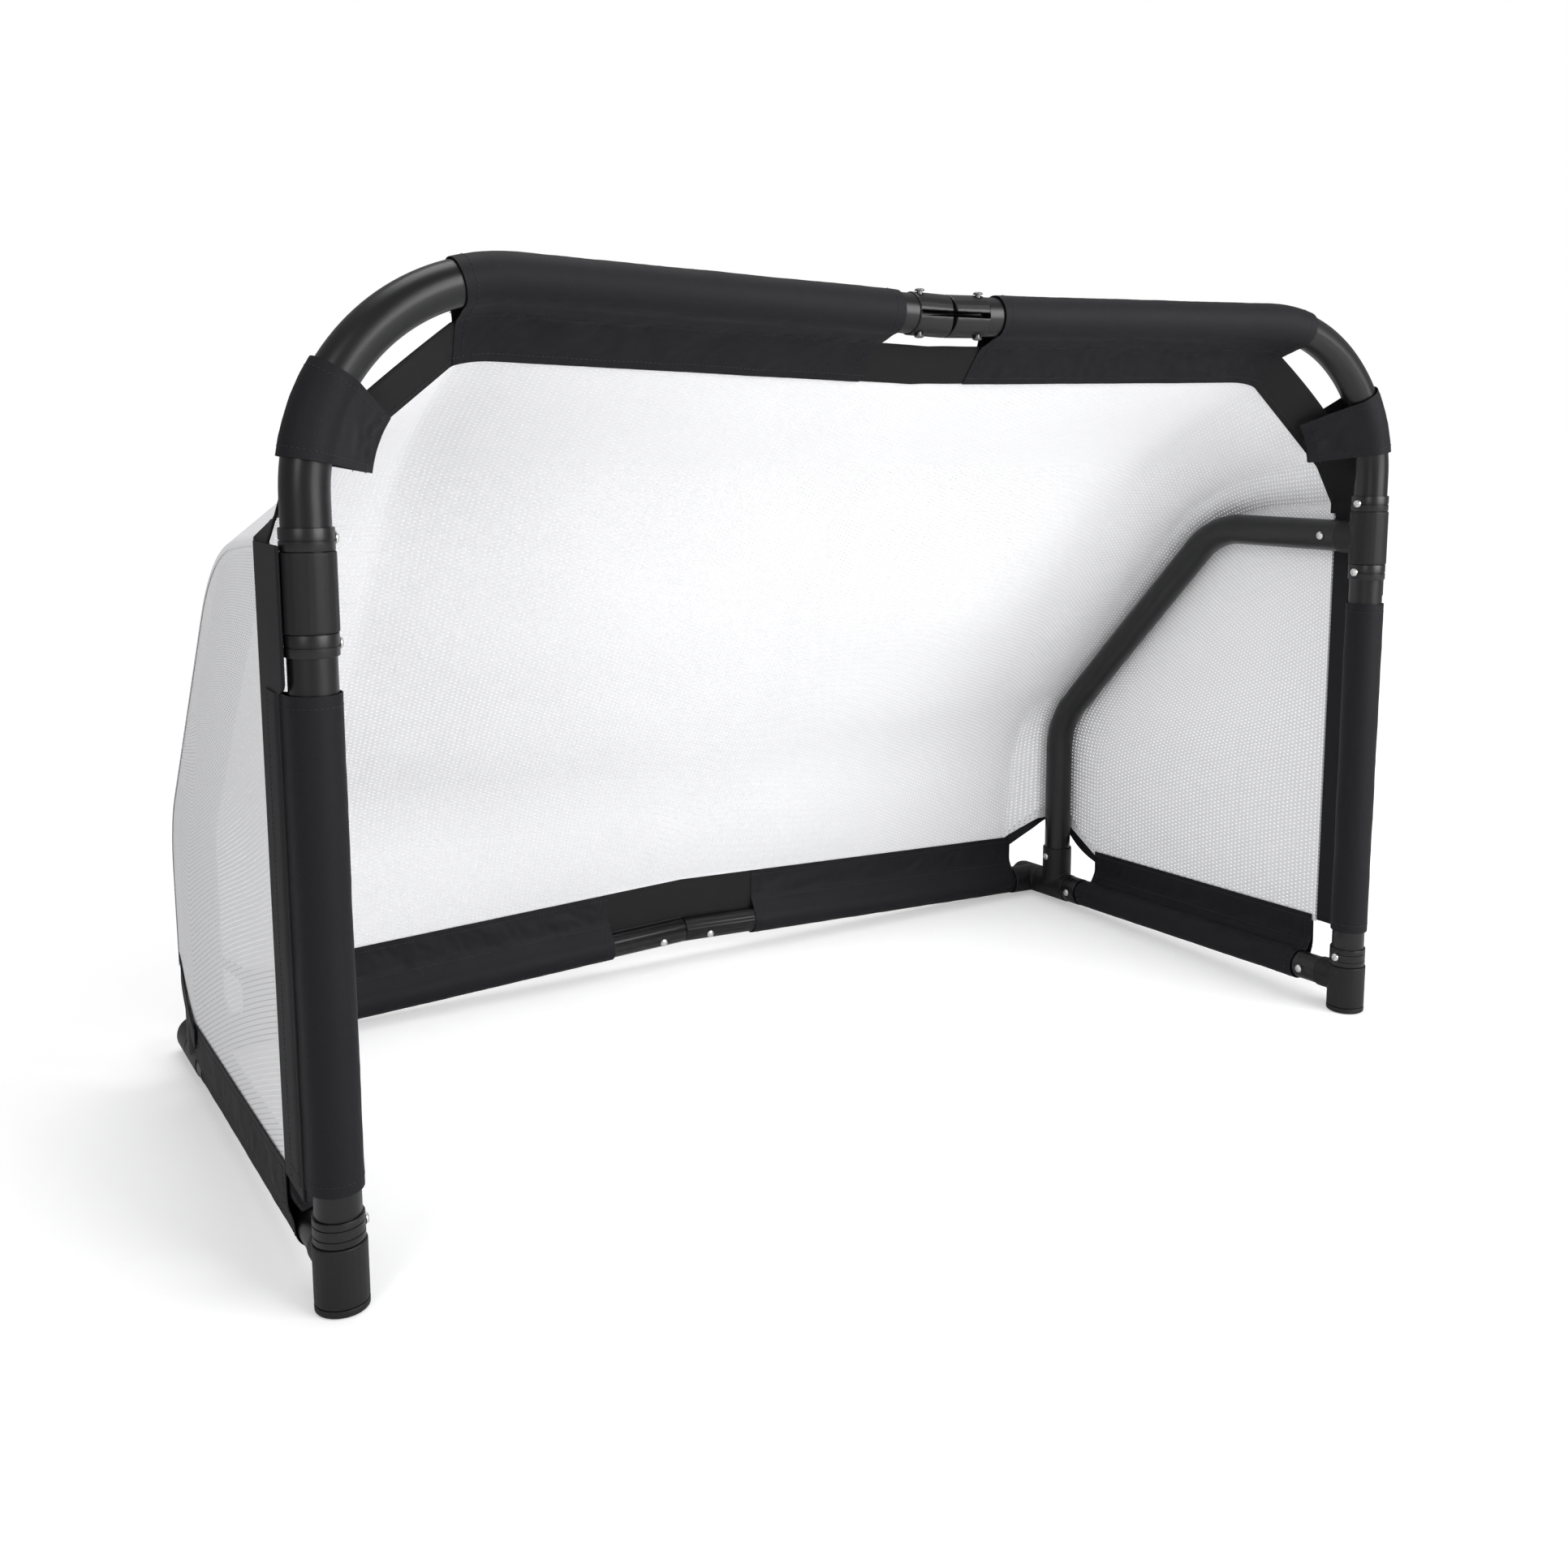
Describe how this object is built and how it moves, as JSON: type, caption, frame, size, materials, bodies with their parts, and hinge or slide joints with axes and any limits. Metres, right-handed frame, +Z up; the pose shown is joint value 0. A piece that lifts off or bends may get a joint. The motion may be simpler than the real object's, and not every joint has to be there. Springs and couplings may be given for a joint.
{
  "type": "folding soccer goal",
  "caption": "Small folding soccer goal: bent black tube frame with swivelling arches, hinged crossbar and rear bar, side struts, fabric sleeves and a white net",
  "frame": {"origin": "on the floor, in the middle of the bounding box seen from above", "axes": "X along the crossbar, with the left post of the picture at -X; the mouth faces -Y and the rear bar is at +Y; Z up"},
  "size_m": [1.2078, 0.6228, 0.8026],
  "materials": {
    "black_collar": "black moulded plastic, slightly glossier than the tees",
    "black_moulding": "matte black moulded plastic, fine grain",
    "black_powder_coat": "satin black powder coat on steel tube",
    "black_woven_fabric": "black woven polyester with hems and lines of stitching",
    "charcoal_band": "smooth charcoal webbing",
    "dark_steel": "dark plated steel",
    "white_knit_net": "white fine knitted mesh",
    "zinc_plate": "bright zinc plate"
  },
  "bodies": {
    "left_side_frame": {"left_middle_tee": "black_moulding", "left_strut": "black_powder_coat", "left_strut_screw": "zinc_plate", "left_base_tee": "black_moulding", "left_foot_cap": "black_moulding", "left_side_bar": "black_powder_coat", "left_side_bar_screw": "zinc_plate", "left_socket_tee": "black_moulding", "left_rear_collar": "black_collar", "left_post_sleeve": "black_woven_fabric", "left_side_sleeve": "black_woven_fabric", "left_side_net": "white_knit_net", "left_back_net": "white_knit_net"},
    "left_arch": {"left_arch_tube": "black_powder_coat", "left_crossbar_hinge": "black_moulding", "left_upper_collar": "black_collar", "left_upper_collar_screw": "zinc_plate", "left_lower_collar": "black_collar", "left_lower_collar_screw": "zinc_plate", "left_base_collar": "black_collar", "left_base_collar_screw": "zinc_plate", "left_crossbar_sleeve": "black_woven_fabric", "left_corner_patch": "black_woven_fabric"},
    "left_rear_half": {"left_rear_tee": "black_moulding", "left_rear_bar": "black_powder_coat", "left_rear_sleeve": "black_woven_fabric"},
    "right_side_frame": {"right_middle_tee": "black_moulding", "right_strut": "black_powder_coat", "right_strut_screw": "zinc_plate", "right_base_tee": "black_moulding", "right_foot_cap": "black_moulding", "right_side_bar": "black_powder_coat", "right_side_bar_screw": "zinc_plate", "right_socket_tee": "black_moulding", "right_rear_collar": "black_collar", "right_post_sleeve": "black_woven_fabric", "right_side_sleeve": "black_woven_fabric", "right_side_net": "white_knit_net", "right_back_net": "white_knit_net"},
    "right_arch": {"right_arch_tube": "black_powder_coat", "right_crossbar_hinge": "black_moulding", "right_upper_collar": "black_collar", "right_upper_collar_screw": "zinc_plate", "right_lower_collar": "black_collar", "right_lower_collar_screw": "zinc_plate", "right_base_collar": "black_collar", "right_base_collar_screw": "zinc_plate", "right_crossbar_sleeve": "black_woven_fabric", "right_corner_patch": "black_woven_fabric"},
    "right_rear_half": {"right_rear_tee": "black_moulding", "right_rear_bar": "black_powder_coat", "right_rear_sleeve": "black_woven_fabric"},
    "crossbar_link": {"crossbar_link": "dark_steel", "crossbar_pin_left": "zinc_plate", "crossbar_pin_right": "zinc_plate", "top_band": "charcoal_band"},
    "rear_link": {"rear_link": "dark_steel", "rear_pin_left": "zinc_plate", "rear_pin_right": "zinc_plate", "rear_band": "charcoal_band"}
  },
  "joints": [
    {"name": "crossbar_left_pivot", "type": "hinge", "parent": "crossbar_link", "child": "left_arch", "pos_m": [-0.033, -0.27725, 0.77425], "axis": [0, 0, 1], "range_deg": [0, 87.5], "deforming": ["top_band"]},
    {"name": "left_post_fold", "type": "hinge", "parent": "left_arch", "child": "left_side_frame", "pos_m": [-0.582, -0.29037, 0], "axis": [0, 0, -1], "range_deg": [0, 87.5], "deforming": ["left_back_net"]},
    {"name": "crossbar_right_pivot", "type": "hinge", "parent": "crossbar_link", "child": "right_arch", "pos_m": [0.033, -0.27725, 0.77425], "axis": [0, 0, 1], "range_deg": [-87.5, 0]},
    {"name": "right_post_fold", "type": "hinge", "parent": "right_arch", "child": "right_side_frame", "pos_m": [0.582, -0.29037, 0], "axis": [0, 0, 1], "range_deg": [0, 87.5], "deforming": ["right_back_net"]},
    {"name": "left_rear_fold", "type": "hinge", "parent": "left_side_frame", "child": "left_rear_half", "pos_m": [-0.582, 0.27539, 0.02014], "axis": [0, -0.9996, 0.0289], "range_deg": [0, 87.5]},
    {"name": "rear_left_pivot", "type": "hinge", "parent": "left_rear_half", "child": "rear_link", "pos_m": [-0.033, 0.27577, 0.03326], "axis": [0, -0.9996, 0.0289], "range_deg": [-87.5, 0], "deforming": ["rear_band"]},
    {"name": "right_rear_fold", "type": "hinge", "parent": "right_side_frame", "child": "right_rear_half", "pos_m": [0.582, 0.27539, 0.02014], "axis": [0, 0.9996, -0.0289], "range_deg": [0, 87.5]}
  ],
  "couplings": [
    {"joint": "crossbar_left_pivot", "follows": "left_post_fold", "ratio": 1},
    {"joint": "crossbar_right_pivot", "follows": "left_post_fold", "ratio": -1},
    {"joint": "right_post_fold", "follows": "left_post_fold", "ratio": 1},
    {"joint": "left_rear_fold", "follows": "left_post_fold", "ratio": 1},
    {"joint": "rear_left_pivot", "follows": "left_post_fold", "ratio": -1},
    {"joint": "right_rear_fold", "follows": "left_post_fold", "ratio": 1}
  ]
}
